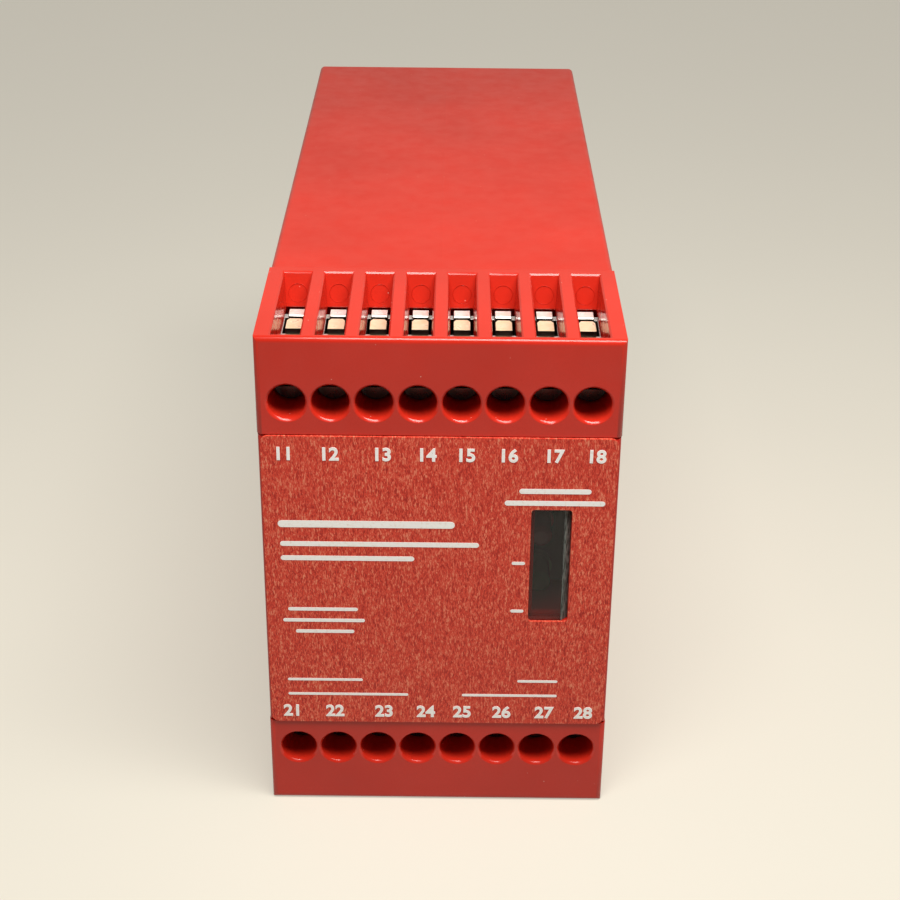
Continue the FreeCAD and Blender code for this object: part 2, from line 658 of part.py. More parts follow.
def lamp(label, rise):
    """Three millimetre lamp with a bevelled nose and a flange that rests on the board."""
    body = new_body(label)
    column = f"{WINDOW_LEFT} + lamp_inset"
    nose = "(lamp_board_front - lamp_length)"
    flange = "(lamp_board_front - lamp_flange_thickness)"
    half = outline(body, "LampProfile", "XY_Plane", [
        (column, nose), (column, "lamp_board_front"),
        (f"{column} + lamp_radius + lamp_flange", "lamp_board_front"),
        (f"{column} + lamp_radius + lamp_flange", flange),
        (f"{column} + lamp_radius", flange), (f"{column} + lamp_radius", nose)], f"{WINDOW_LOW} + {rise}")
    revolve(body, "Lamp", half, 1)
    round_edges(body, "NoseBevel", "lamp_bevel", lambda edge: (
        edge.Curve.TypeId == "Part::GeomCircle" and lies_at(edge, "Y", nose)), "Chamfer")
    return body


def circuit_board(label, level, turned):
    """Board that the busbars' tails lie on."""
    body = new_body(label, level, turned)
    board = rectangle(body, "BoardOutline", "XY_Plane", either_side(f"{INSIDE_HALF} - board_side_gap"),
                      (BOARD_FRONT, f"{BASE_FRONT} - board_rear_gap"), f"-{BOARD_FACE} - board_thickness")
    pad(body, "Board", board, "board_thickness")
    return body


def guided_relay(label, side):
    """Sealed relay with force-guided contacts, standing on the lower board."""
    body = new_body(label)
    low = f"({BOARD_FACE} + board_thickness)"
    centre = f"({side} * relay_spacing / 2)"
    case = rectangle(body, "CaseOutline", "XY_Plane",
                     (f"{centre} - relay_width / 2", f"{centre} + relay_width / 2"),
                     (f"{BOARD_FRONT} + relay_setback", f"{BOARD_FRONT} + relay_setback + relay_length"), low)
    pad(body, "Case", case, "relay_height")
    round_edges(body, "CaseBevel", "relay_bevel",
                lambda edge: runs_along(edge, "z") or lies_at(edge, "Z", f"{low} + relay_height"), "Chamfer")
    return body


def supply_capacitor():
    """Electrolytic can that lies along the upper board's underside, with its crimped bead."""
    body = new_body("supply_capacitor")
    level = f"overall_height - {BOARD_FACE} - board_thickness - capacitor_radius"
    front = f"{BOARD_FRONT} + capacitor_setback"
    rear = f"({front} + capacitor_length)"
    edge = "capacitor_column + capacitor_radius"
    half = outline(body, "CanProfile", "XY_Plane", [
        ("capacitor_column", front), ("capacitor_column", rear), (edge, rear),
        (edge, f"{front} + 5 * capacitor_bead"),
        (f"{edge} - capacitor_bead", f"{front} + 4 * capacitor_bead"),
        (edge, f"{front} + 3 * capacitor_bead"), (edge, front)], level)
    revolve(body, "Can", half, 1)
    return body


def hanging_level():
    return f"(overall_height - {BOARD_FACE} - board_thickness)"


def supply_fuse():
    body = new_body("supply_fuse")
    centre = ("fuse_column", f"{BOARD_FRONT} + fuse_setback")
    disc = circles(body, "FuseCircle", "XY_Plane", [centre], "fuse_radius",
                   f"{hanging_level()} - fuse_height")
    pad(body, "Fuse", disc, "fuse_height")
    return body


def varistor():
    """Disc on edge that hangs from the upper board."""
    body = new_body("varistor")
    centre = ("varistor_column", f"{hanging_level()} - varistor_radius")
    disc = circles(body, "DiscCircle", "XZ_Plane", [centre], "varistor_radius",
                   f"-{BOARD_FRONT} - varistor_setback")
    pad(body, "Disc", disc, "varistor_thickness", flip=True)
    return body


def bridge_rectifier():
    """Square block with one cut corner that marks its positive lead."""
    body = new_body("bridge_rectifier")
    left, right = "rectifier_column - rectifier_side / 2", "rectifier_column + rectifier_side / 2"
    front, rear = f"{BOARD_FRONT} + rectifier_setback", f"{BOARD_FRONT} + rectifier_setback + rectifier_side"
    block = outline(body, "BlockOutline", "XY_Plane", [
        (left, front), (right, front), (right, f"{rear} - rectifier_corner"),
        (f"{right} - rectifier_corner", rear), (left, rear)], f"{hanging_level()} - rectifier_height")
    pad(body, "Block", block, "rectifier_height")
    return body


def link_header():
    """Pin strip that joins the lamp board to the upper board, under the cover's upper wall."""
    body = new_body("link_header")
    top = "(overall_height - block_height - cover_gap - cover_wall - spigot_gap)"
    low = f"({top} - header_height)"
    front, rear = "(lamp_board_front + board_thickness)", f"({BOARD_FRONT} + header_height)"
    strip = outline(body, "StripProfile", "YZ_Plane", [
        (front, low), (rear, low), (rear, hanging_level()), (BOARD_FRONT, hanging_level()),
        (BOARD_FRONT, top), (front, top)], "header_column")
    pad(body, "Strip", strip, "header_width", both_ways=True)
    return body


def rear_base():
    """Plug in the sleeve's rear end, with the seat for the rail, its fixed hook and the latch's guide."""
    body = new_body("rear_base")
    low = "(housing_wall + spigot_gap)"
    high = "(overall_height - housing_wall - spigot_gap)"
    lip_low = f"({CHANNEL_HIGH} - hook_reach)"
    seat_low, seat_high = f"{CHANNEL_LOW} + latch_reach + seat_margin", f"{lip_low} - seat_margin"
    relief = f"{CHANNEL_FLOOR} - seat_relief"
    side = outline(body, "SideProfile", "YZ_Plane", [
        (BASE_FRONT, low), (BASE_REAR, low), (BASE_REAR, CHANNEL_LOW), (relief, CHANNEL_LOW),
        (relief, seat_low), (CHANNEL_FLOOR, seat_low), (CHANNEL_FLOOR, seat_high), (relief, seat_high),
        (relief, CHANNEL_HIGH), (HOOK_FACE, CHANNEL_HIGH), (HOOK_FACE, lip_low),
        (f"{BASE_REAR} - hook_lead", lip_low), (BASE_REAR, f"{lip_low} + hook_lead"),
        (BASE_REAR, high), (BASE_FRONT, high)])
    pad(body, "Base", side, f"2 * {PLUG_HALF}", both_ways=True)
    inside = outline(body, "InsideProfile", "YZ_Plane", [
        (BASE_FRONT, f"{low} + base_wall"), (f"{CHANNEL_FLOOR} - base_wall", f"{low} + base_wall"),
        (f"{CHANNEL_FLOOR} - base_wall", f"{CHANNEL_HIGH} + base_wall"),
        (f"{BASE_REAR} - base_wall", f"{CHANNEL_HIGH} + base_wall"),
        (f"{BASE_REAR} - base_wall", f"{high} - base_wall"), (BASE_FRONT, f"{high} - base_wall")])
    pocket(body, "Inside", inside, f"2 * ({PLUG_HALF} - base_wall)", both_ways=True)

    guide_half = "(latch_width / 2 + latch_gap)"
    guide_rear = f"({LATCH_REAR} + latch_gap)"
    guide = rectangle(body, "GuideOutline", "XY_Plane", either_side(guide_half),
                      (f"{LATCH_FRONT} - latch_gap", guide_rear))
    pocket(body, "LatchGuide", guide, CHANNEL_LOW, flip=True)
    notch = rectangle(body, "NotchOutline", "XZ_Plane", either_side(guide_half), ("0", "notch_height"),
                      f"-{guide_rear}")
    pocket(body, "PullNotch", notch, f"{BASE_REAR} - {guide_rear}")
    shelf = rectangle(body, "ShelfOutline", "XZ_Plane",
                      either_side("latch_window_width / 2 - shelf_side_gap"),
                      ("shelf_low", SHELF_TOP), f"-{LATCH_FRONT} + latch_gap")
    pad(body, "SpringShelf", shelf, "latch_thickness + 2 * latch_gap", flip=True)

    lugs = new_sketch(body, "LugOutline", "XZ_Plane", f"-{BASE_FRONT} - snap_setback")
    for sign in ("-1", "1"):
        for place in snap_places():
            add_outline(lugs, box_points(
                (f"{sign} * ({PLUG_HALF} - base_wall / 2)", f"{sign} * ({HOUSING_HALF} - spigot_gap)"),
                (f"{place} - snap_width / 2", f"{place} + snap_width / 2")))
    pad(body, "SnapLugs", lugs, "snap_length", flip=True)
    return body


def foot_latch():
    """Sliding latch: its lip grips the rail's lower brim, and its window holds the spring."""
    body = new_body("foot_latch")
    lip_high = f"({CHANNEL_LOW} + latch_reach)"
    side = outline(body, "LatchProfile", "YZ_Plane", [
        (LATCH_FRONT, "latch_low"), (LATCH_REAR, "latch_low"), (LATCH_REAR, f"{lip_high} - latch_reach"),
        (f"{LATCH_FRONT} + latch_thickness - latch_reach", lip_high), (LATCH_FRONT, lip_high)])
    pad(body, "Latch", side, "latch_width", both_ways=True)
    window = rectangle(body, "SpringWindowOutline", "XZ_Plane", either_side("latch_window_width / 2"),
                       ("latch_window_low", LATCH_WINDOW_TOP), f"-{LATCH_FRONT}")
    pocket(body, "SpringWindow", window, "latch_thickness")
    middle = "(latch_low + latch_window_low) / 2"
    pull = rectangle(body, "PullSlotOutline", "XZ_Plane", either_side("latch_pull_width / 2"),
                     (f"{middle} - latch_pull_height / 2", f"{middle} + latch_pull_height / 2"),
                     f"-{LATCH_FRONT}")
    pocket(body, "PullSlot", pull, "latch_thickness")
    return body


def latch_spring():
    """Spring of folded strip between the base's shelf and the top of the latch's window."""
    body = new_body("latch_spring")
    rise = f"(({LATCH_WINDOW_TOP} - {SHELF_TOP} - spring_strip) / {SPRING_LEGS})"
    crossing = f"(spring_reach * spring_strip / {rise})"
    foot_top = f"{SHELF_TOP} + spring_strip"
    head_low = f"{LATCH_WINDOW_TOP} - spring_strip"

    def bends(side):
        """Corners along one side of the strip, from the second bend up. Even bends point to -X."""
        corners = []
        for number in range(2, SPRING_LEGS + 1):
            outward = 1 if number % 2 else -1
            level = f"{SHELF_TOP} + {rise} * {number - 1}"
            if outward == side:
                corners += [(f"{side} * spring_reach", up) for up in (level, f"{level} + spring_strip")]
            else:
                corners.append((f"{outward} * (spring_reach - {crossing})", f"{level} + spring_strip / 2"))
        return corners

    strip = outline(body, "StripOutline", "XZ_Plane", [
        ("-spring_reach", SHELF_TOP), ("spring_reach", SHELF_TOP), ("spring_reach", foot_top), *bends(1),
        (f"2 * {crossing} - spring_reach", head_low), ("spring_reach", head_low),
        ("spring_reach", LATCH_WINDOW_TOP), ("-spring_reach", LATCH_WINDOW_TOP), ("-spring_reach", head_low),
        *reversed(bends(-1)), (f"spring_reach - 2 * {crossing}", foot_top), ("-spring_reach", foot_top)],
        f"-{SPRING_AXIS} + spring_width / 2")
    pad(body, "Strip", strip, "spring_width", flip=True)
    round_edges(body, "BendRounding", "spring_bend", lambda edge: (
        runs_along(edge, "y") and abs(abs(edge.CenterOfMass.x) - value("spring_reach")) < TOLERANCE))
    return body


BLOCK_SIDES = (("top", "overall_height", False), ("bottom", "0", True))

for side_name, side_level, side_turned in BLOCK_SIDES:
    terminal_block(f"{side_name}_terminal_block", side_level, side_turned)
    busbars(f"{side_name}_busbars", side_level, side_turned)
    for pole_index in range(POLES):
        position = POLES - 1 - pole_index if side_turned else pole_index
        clamp_screw(f"{side_name}_screw_{pole_index + 1}", side_level, side_turned, position)
        clamp_cage(f"{side_name}_cage_{pole_index + 1}", side_level, side_turned, position)

main_housing()
front_cover()
label_plate()
window_lens()
lamp_board()
lamp("power_lamp", "power_lamp_rise")
lamp("output_lamp", "output_lamp_rise")
circuit_board("upper_board", "overall_height", False)
circuit_board("lower_board", "0", True)
guided_relay("guided_relay_1", "-1")
guided_relay("guided_relay_2", "1")
supply_capacitor()
supply_fuse()
varistor()
bridge_rectifier()
link_header()
rear_base()
foot_latch()
latch_spring()

doc.recompute()
for item in doc.Objects:
    if {"Invalid", "Error"} & set(item.State):
        raise RuntimeError(f"{item.Name} failed: {item.State}")
    if item.TypeId in ("PartDesign::Pocket", "PartDesign::SubtractiveLoft"):
        if item.Shape.Volume >= item.BaseFeature.Shape.Volume:
            raise RuntimeError(f"{item.Name} cuts nothing")

os.makedirs("parts", exist_ok=True)
for piece in pieces:
    if piece.Shape.isNull() or not piece.Shape.isValid():
        raise RuntimeError(f"{piece.Label} has no valid shape")
    piece.Shape.exportStep(os.path.join("parts", f"{piece.Label}.step"))
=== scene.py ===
import math

import bpy
from mathutils import Matrix, Vector


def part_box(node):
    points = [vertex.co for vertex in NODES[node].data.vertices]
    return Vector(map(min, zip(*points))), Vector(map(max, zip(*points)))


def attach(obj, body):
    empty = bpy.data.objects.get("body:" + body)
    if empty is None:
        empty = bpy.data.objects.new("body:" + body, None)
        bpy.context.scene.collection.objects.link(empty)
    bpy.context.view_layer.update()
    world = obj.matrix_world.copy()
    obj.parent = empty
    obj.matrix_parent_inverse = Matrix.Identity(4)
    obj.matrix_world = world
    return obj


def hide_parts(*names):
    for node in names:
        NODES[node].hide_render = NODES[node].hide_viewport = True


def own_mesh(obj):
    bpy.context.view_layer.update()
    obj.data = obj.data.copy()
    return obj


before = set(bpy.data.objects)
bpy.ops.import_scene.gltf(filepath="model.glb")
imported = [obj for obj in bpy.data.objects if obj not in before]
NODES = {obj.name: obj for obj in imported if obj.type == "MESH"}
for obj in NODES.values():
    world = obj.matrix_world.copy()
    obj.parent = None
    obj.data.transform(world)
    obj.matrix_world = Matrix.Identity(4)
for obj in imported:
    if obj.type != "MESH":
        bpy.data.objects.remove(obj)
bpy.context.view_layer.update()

MM = 0.001
CASE = "case"
BLOCKS = ("top", "bottom")
POLES = range(1, 9)

CAGES = [f"{block}_cage_{pole}" for block in BLOCKS for pole in POLES]
SCREWS = [f"{block}_screw_{pole}" for block in BLOCKS for pole in POLES]


def box_ends(node):
    """Lowest and highest corner of a CAD node's box at rest."""
    low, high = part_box(node)
    return Vector(low), Vector(high)


def middle(node):
    low, high = box_ends(node)
    return (low + high) / 2


LABEL_LOW, LABEL_HIGH = box_ends("label_plate")
BLOCK_LOW, BLOCK_HIGH = box_ends("top_terminal_block")
LENS_RIGHT = box_ends("window_lens")[1].x
UNDERSIDE = 0.0
POLE_PLACES = [middle(f"top_screw_{pole}").x for pole in POLES]


def shaded(color, *factors):
    """A colour with its channels multiplied by one factor, or by a factor each."""
    if len(factors) == 1:
        factors *= len(color)
    return tuple(channel * factor for channel, factor in zip(color, factors))


# --- how finishes are built -------------------------------------------------------------------------------------


class Finish:
    """A material that is built up round one Principled shader. Its patterns lie in the object's own frame."""

    def __init__(self, name, color, roughness, metallic=0.0):
        self.material = bpy.data.materials.new(name)
        self.material.use_nodes = True
        self.tree = self.material.node_tree
        self.shader = self.tree.nodes["Principled BSDF"]
        self.shader.inputs["Base Color"].default_value = (*color, 1.0)
        self.shader.inputs["Roughness"].default_value = roughness
        self.shader.inputs["Metallic"].default_value = metallic
        self.place = self.add("ShaderNodeTexCoord").outputs["Object"]

    def add(self, kind, settings=None, **inputs):
        """Add a node, with its settings and its inputs by name. An input may be a value or a socket."""
        node = self.tree.nodes.new(kind)
        for name, setting in (settings or {}).items():
            setattr(node, name, setting)
        for name, given in inputs.items():
            self.feed(node.inputs[name.replace("_", " ")], given)
        return node

    def feed(self, socket, given):
        if isinstance(given, bpy.types.NodeSocket):
            self.tree.links.new(given, socket)
        else:
            socket.default_value = given

    def math(self, operation, first, second=0.0):
        node = self.add("ShaderNodeMath", {"operation": operation})
        self.feed(node.inputs[0], first)
        self.feed(node.inputs[1], second)
        return node.outputs[0]

    def stretched(self, scale):
        """Coordinates multiplied by a scale of their own along each axis."""
        node = self.add("ShaderNodeMapping", Vector=self.place)
        node.inputs["Scale"].default_value = scale
        return node.outputs[0]

    def noise(self, scale, detail=2.0, distortion=0.0, place=None):
        return self.add("ShaderNodeTexNoise", Vector=place or self.place, Scale=scale, Detail=detail,
                        Distortion=distortion).outputs["Fac"]

    def between(self, factor, low, high, out_low=0.0, out_high=1.0):
        """Map a range onto another, with the ends held."""
        node = self.add("ShaderNodeMapRange", {"clamp": True})
        self.feed(node.inputs["Value"], factor)
        for name, given in (("From Min", low), ("From Max", high), ("To Min", out_low), ("To Max", out_high)):
            node.inputs[name].default_value = given
        return node.outputs["Result"]

    def mix(self, factor, first, second):
        """From the first colour at a factor of 0 to the second at 1."""
        node = self.add("ShaderNodeMix", {"data_type": "RGBA"})
        self.feed(node.inputs[0], factor)
        for socket, given in ((node.inputs[6], first), (node.inputs[7], second)):
            self.feed(socket, (*given, 1.0) if isinstance(given, tuple) else given)
        return node.outputs[2]

    def bump(self, height, distance, strength=1.0, under=None):
        """A normal bent by a height, over the normal of another bump if one is given."""
        node = self.add("ShaderNodeBump", Height=height, Distance=distance, Strength=strength)
        if under is not None:
            self.feed(node.inputs["Normal"], under)
        return node.outputs["Normal"]

    def along(self, axis):
        """One coordinate of the object's frame."""
        return self.add("ShaderNodeSeparateXYZ", Vector=self.place).outputs[axis]

    def specks(self, scale, size, share):
        """Small round specks in a share of the cells of a grid, as a factor."""
        cells = self.add("ShaderNodeTexVoronoi", Vector=self.place, Scale=scale)
        lot = self.add("ShaderNodeSeparateColor", Color=cells.outputs["Color"]).outputs[0]
        chosen = self.math("GREATER_THAN", lot, 1.0 - share)
        dot = self.between(cells.outputs["Distance"], size * 0.5, size, 1.0, 0.0)
        return self.math("MULTIPLY", dot, chosen)

    def set(self, **sockets):
        """Feed the shader and give back the material."""
        for name, given in sockets.items():
            self.feed(self.shader.inputs[name.replace("_", " ")], given)
        return self.material


# --- finishes ---------------------------------------------------------------------------------------------------
# Noise and speck scales are in cells a metre, so 3800 is a grain of about a quarter of a millimetre. Bump distances
# are in metres. Colours are linear.
GRAIN_SCALE, FINE_GRAIN_SCALE, BLOTCH_SCALE, SHEEN_SCALE = 3800, 9000, 55, 400
SPECK_SCALE, SPECK_SIZE, SPECK_SHARE, SPECK_COVER = 1300, 0.11, 0.06, 0.7
DUST = (0.80, 0.55, 0.45)
SEAM_INNER, SEAM_OUTER = 0.04 * MM, 0.16 * MM


def moulded(name, color, dusty=0.5, roughness=0.34, seam=False):
    """Satin moulded plastic: spark-eroded grain, faint blotches, and dust caught in the grain.

    With a seam, the mould's parting line runs along the middle."""
    finish = Finish(name, color, roughness)
    grain = finish.noise(GRAIN_SCALE, 3.0)
    blotch = finish.noise(BLOTCH_SCALE, 3.0)
    dark = shaded(color, 0.90)
    light = tuple(min(1.0, channel * 1.04 + 0.002) for channel in color)
    tint = finish.mix(finish.between(blotch, 0.3, 0.7), dark, light)
    tint = finish.mix(finish.between(grain, 0.40, 0.75, 0.0, 0.45), tint, dark)
    specks = finish.specks(SPECK_SCALE, SPECK_SIZE, SPECK_SHARE * dusty)
    tint = finish.mix(finish.math("MULTIPLY", specks, SPECK_COVER), tint, DUST)
    normal = finish.bump(finish.noise(FINE_GRAIN_SCALE, 2.0), 0.006 * MM, 0.5)
    normal = finish.bump(grain, 0.010 * MM, 0.4, normal)
    if seam:
        line = finish.between(finish.math("ABSOLUTE", finish.along("X")), SEAM_INNER, SEAM_OUTER, 1.0, 0.0)
        normal = finish.bump(line, 0.02 * MM, 0.6, normal)
    rough = finish.between(finish.noise(SHEEN_SCALE, 2.0), 0.3, 0.7, roughness - 0.04, roughness + 0.06)
    return finish.set(Base_Color=tint, Roughness=rough, Normal=normal, Specular_IOR_Level=0.42)


FIBRE_SCALES, STREAK_SCALES = (6800, 2600, 1900), (3000, 1500, 620)
# The film's colours are light partly as painted sheen, and its lightest colour is a painted highlight on the grain.
LABEL_DARK, LABEL_MIDDLE, LABEL_HIGHLIGHT = (0.42, 0.016, 0.010), (0.82, 0.068, 0.036), (1.0, 0.34, 0.20)
LABEL_BLOTCH = (0.66, 0.046, 0.028)


def label_film(name):
    """Printed polyester with an embossed vertical grain; its lightest streaks are painted highlights."""
    finish = Finish(name, (0.5, 0.05, 0.03), 0.40)
    fibres = finish.noise(1.0, 2.0, 0.9, finish.stretched(FIBRE_SCALES))
    streaks = finish.noise(1.0, 2.0, 0.4, finish.stretched(STREAK_SCALES))
    both = finish.math("ADD", finish.math("MULTIPLY", fibres, 0.8), finish.math("MULTIPLY", streaks, 0.2))
    tint = finish.mix(finish.between(both, 0.36, 0.50), LABEL_DARK, LABEL_MIDDLE)
    # Painted highlight on the lightest streaks of the grain.
    tint = finish.mix(finish.between(both, 0.53, 0.66), tint, LABEL_HIGHLIGHT)
    blotch = finish.between(finish.noise(60, 2.0), 0.3, 0.7, 0.0, 0.22)
    tint = finish.mix(blotch, tint, LABEL_BLOTCH)
    normal = finish.bump(both, 0.06 * MM, 0.9)
    return finish.set(Base_Color=tint, Normal=normal, Specular_IOR_Level=0.35)


MARK_SCALES = (2600, 900, 7000)
# Painted shade on the sides and ends of terminal metal.
PAINTED_SHADE_SIDES = (0.085, 0.070, 0.055)


def plated(name, color, roughness=0.2):
    """Nickel-plated or tinned strip with drawing marks."""
    finish = Finish(name, color, roughness, 1.0)
    marks = finish.noise(1.0, 3.0, 0.2, finish.stretched(MARK_SCALES))
    stain = finish.noise(700, 3.0)
    tint = finish.mix(finish.between(stain, 0.35, 0.7, 0.0, 0.6), color, shaded(color, 0.86, 0.72, 0.48))
    rough = finish.between(stain, 0.3, 0.7, roughness * 0.7, roughness * 1.6)
    normal = finish.bump(marks, 0.012 * MM, 0.5)
    return finish.set(Base_Color=tint, Roughness=rough, Normal=normal)


def terminal_metal(name, color):
    """Plating, bright on the faces turned to the wire, with painted shade: dark, less metallic sides and ends."""
    finish = Finish(name, color, 0.34)
    geometry = finish.add("ShaderNodeNewGeometry")
    facing = finish.add("ShaderNodeSeparateXYZ", Vector=geometry.outputs["True Normal"])
    # Painted shade: faces not turned up or down get the dark colour and less metal.
    lit_faces = finish.between(finish.math("ABSOLUTE", facing.outputs["Z"]), 0.35, 0.85)
    stain = finish.noise(900, 3.0)
    bright = finish.mix(finish.between(stain, 0.40, 0.75, 0.0, 0.5), color, shaded(color, 0.88, 0.78, 0.58))
    tint = finish.mix(lit_faces, PAINTED_SHADE_SIDES, bright)
    marks = finish.noise(1.0, 3.0, 0.2, finish.stretched(MARK_SCALES))
    rough = finish.between(stain, 0.3, 0.7, 0.26, 0.46)
    metallic = finish.between(lit_faces, 0.0, 1.0, 1.0, 0.40)
    normal = finish.bump(marks, 0.010 * MM, 0.5)
    return finish.set(Base_Color=tint, Roughness=rough, Metallic=metallic, Normal=normal)


BEVEL_START, BEVEL_END = LENS_RIGHT - 0.86 * MM, LENS_RIGHT - 0.78 * MM
SAW_SCALES = (4200, 4200, 900)
SMOKE_DARK, SMOKE_LIGHT = (0.022, 0.016, 0.015), (0.034, 0.026, 0.024)
FROST_DARK, FROST_LIGHT = (0.05, 0.075, 0.068), (0.30, 0.37, 0.34)
SMOKE_ALPHA = 0.42


def smoked(name):
    """Dark see-through acrylic with a sawn, frosted bevel along its right edge."""
    finish = Finish(name, (0.012, 0.012, 0.013), 0.10)
    cloud = finish.noise(700, 3.0)
    sawn = finish.between(finish.along("X"), BEVEL_START, BEVEL_END)
    streak = finish.noise(1.0, 3.0, 0.4, finish.stretched(SAW_SCALES))
    tint = finish.mix(finish.between(cloud, 0.3, 0.7), SMOKE_DARK, SMOKE_LIGHT)
    frost = finish.mix(finish.between(streak, 0.38, 0.66), FROST_DARK, FROST_LIGHT)
    tint = finish.mix(sawn, tint, frost)
    rough = finish.math("ADD", finish.between(cloud, 0.3, 0.7, 0.08, 0.15), finish.math("MULTIPLY", sawn, 0.4))
    solid = finish.between(sawn, 0.0, 1.0, SMOKE_ALPHA, 1.0)
    finish.material.surface_render_method = "BLENDED"
    normal = finish.bump(finish.math("MULTIPLY", streak, sawn), 0.04 * MM, 0.8)
    return finish.set(Base_Color=tint, Roughness=rough, Alpha=solid, Normal=normal)


def lamp_glass(name, color):
    """Tinted epoxy of a lamp that isn't lit."""
    finish = Finish(name, color, 0.18)
    cloud = finish.noise(900, 2.0)
    tint = finish.mix(finish.between(cloud, 0.3, 0.7), color, shaded(color, 0.75))
    return finish.set(Base_Color=tint, Coat_Weight=0.4, Coat_Roughness=0.08)


WEAVE_SCALE = 420.0
LACQUER_DARK, LACQUER_LIGHT, LACQUER_CLOUD = (0.025, 0.15, 0.06), (0.05, 0.22, 0.10), (0.02, 0.11, 0.05)


def laminate(name):
    """Circuit board with its woven glass just showing."""
    finish = Finish(name, (0.03, 0.17, 0.07), 0.3)
    weave = finish.add("ShaderNodeTexWave", Vector=finish.place, Scale=WEAVE_SCALE, Distortion=0.6).outputs["Fac"]
    cloud = finish.noise(300, 2.0)
    tint = finish.mix(finish.between(weave, 0.2, 0.8, 0.0, 0.4), LACQUER_DARK, LACQUER_LIGHT)
    tint = finish.mix(finish.between(cloud, 0.4, 0.7, 0.0, 0.3), tint, LACQUER_CLOUD)
    return finish.set(Base_Color=tint, Normal=finish.bump(weave, 0.010 * MM, 0.3))


INK, WORN_INK = (1.0, 0.985, 0.95), (0.86, 0.72, 0.66)


def print_white(name):
    """White ink, a little worn, with a faint painted glow that makes it stand out from the film."""
    finish = Finish(name, (1.0, 0.98, 0.94), 0.40)
    wear = finish.noise(3000, 3.0)
    tint = finish.mix(finish.between(wear, 0.50, 0.80), INK, WORN_INK)
    # Painted light: the ink glows faintly, though it is no lamp.
    return finish.set(Base_Color=tint, Emission_Color=tint, Emission_Strength=0.10)


# --- finishes and edges of the CAD nodes ------------------------------------------------------------------------
RED, BLACK, LATCH_BLACK = (0.64, 0.024, 0.010), (0.02, 0.02, 0.02), (0.022, 0.022, 0.024)
NICKEL, TIN_BRASS, STEEL = (0.98, 0.97, 0.93), (0.98, 0.90, 0.62), (0.60, 0.60, 0.58)
# Near-black screw plating, darker than the cages': painted shade that keeps the screwdriver holes black inside.
DARK_SCREW_PLATING = (0.09, 0.087, 0.085)
RED_GLASS, GREEN_GLASS = (0.62, 0.05, 0.06), (0.10, 0.42, 0.14)
RELAY_CREAM, SLEEVE_BLUE, VARISTOR_BLUE = (0.70, 0.66, 0.55), (0.02, 0.03, 0.08), (0.04, 0.09, 0.35)


def dress(material, *names):
    for name in names:
        mesh = NODES[name].data
        mesh.materials.clear()
        mesh.materials.append(material)


def dress_nodes():
    dress(moulded("red_moulding", RED, dusty=1.0, roughness=0.20), "top_terminal_block", "bottom_terminal_block")
    dress(moulded("red_housing", RED, seam=True), "main_housing")
    dress(moulded("red_rear", RED), "front_cover", "rear_base")
    dress(moulded("dark_latch", LATCH_BLACK, dusty=0.6, roughness=0.42), "foot_latch")
    dress(label_film("red_label"), "label_plate")
    dress(smoked("smoked_lens"), "window_lens")
    dress(lamp_glass("red_lamp", RED_GLASS), "power_lamp")
    dress(lamp_glass("green_lamp", GREEN_GLASS), "output_lamp")
    dress(laminate("board_laminate"), "indicator_board", "upper_board", "lower_board")
    dress(terminal_metal("plated_steel", NICKEL), *CAGES)
    dress(plated("dark_screw_plating", DARK_SCREW_PLATING, roughness=0.24), *SCREWS)
    dress(terminal_metal("tinned_brass", TIN_BRASS), "top_busbars", "bottom_busbars")
    dress(moulded("relay_case", RELAY_CREAM, dusty=0.2), "guided_relay_1", "guided_relay_2")
    dress(moulded("capacitor_sleeve", SLEEVE_BLUE, dusty=0.2), "supply_capacitor")
    dress(moulded("dark_case", BLACK, dusty=0.2), "supply_fuse", "bridge_rectifier", "link_header")
    dress(moulded("varistor_coat", VARISTOR_BLUE, dusty=0.2), "varistor")
    dress(plated("spring_steel", STEEL), "latch_spring")


WELD_REACH = 0.002 * MM
FLAT_ANGLE = math.radians(1.0)
SHARP_ANGLE = math.radians(35)
BEVEL_SEGMENTS = 2
SOFT_EDGES = (
    (0.14 * MM, ("top_terminal_block", "bottom_terminal_block")),
    (0.06 * MM, ("top_busbars", "bottom_busbars")),
    (0.08 * MM, CAGES),
    (0.10 * MM, SCREWS),
)


def soften_nodes():
    """Round the sharp edges of CAD nodes. Flat faces are joined up first, so that the bevel stays even."""
    for width, names in SOFT_EDGES:
        for name in names:
            modifiers = NODES[name].modifiers
            modifiers.new("weld", "WELD").merge_threshold = WELD_REACH
            flat = modifiers.new("flat", "DECIMATE")
            flat.decimate_type = "DISSOLVE"
            flat.angle_limit = FLAT_ANGLE
            edges = modifiers.new("edges", "BEVEL")
            edges.width = width
            edges.segments = BEVEL_SEGMENTS
            edges.limit_method = "ANGLE"
            edges.angle_limit = SHARP_ANGLE
            edges.harden_normals = True


def squeezed_spring():
    """The folded strip spring, as a copy of its CAD node that rides on the case."""
    piece = bpy.data.objects.new("folded_spring", NODES["latch_spring"].data.copy())
    bpy.context.scene.collection.objects.link(piece)
    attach(piece, CASE)
    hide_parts("latch_spring")
    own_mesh(piece)


# --- print on the label -----------------------------------------------------------------------------------------
PRINT_THICKNESS = 0.02 * MM
PRINT_PLANE = LABEL_LOW.y - PRINT_THICKNESS
DIGIT_HEIGHT = 1.8 * MM
FONT_SIZE = DIGIT_HEIGHT * 1.37
DIGIT_WEIGHT = 0.080 * MM
CURVE_STEPS = 6
NUMBER_ROWS = ((1, LABEL_HIGH.z - 2.35 * MM), (2, LABEL_LOW.z + 1.85 * MM))
NUMBER_SHIFTS = (-0.6, -0.3, 0.9, 1.1, 0.6, 0.5, 0.8, 0.7)  # of each number from its pole, in millimetres
BAR_END_STEPS = 12

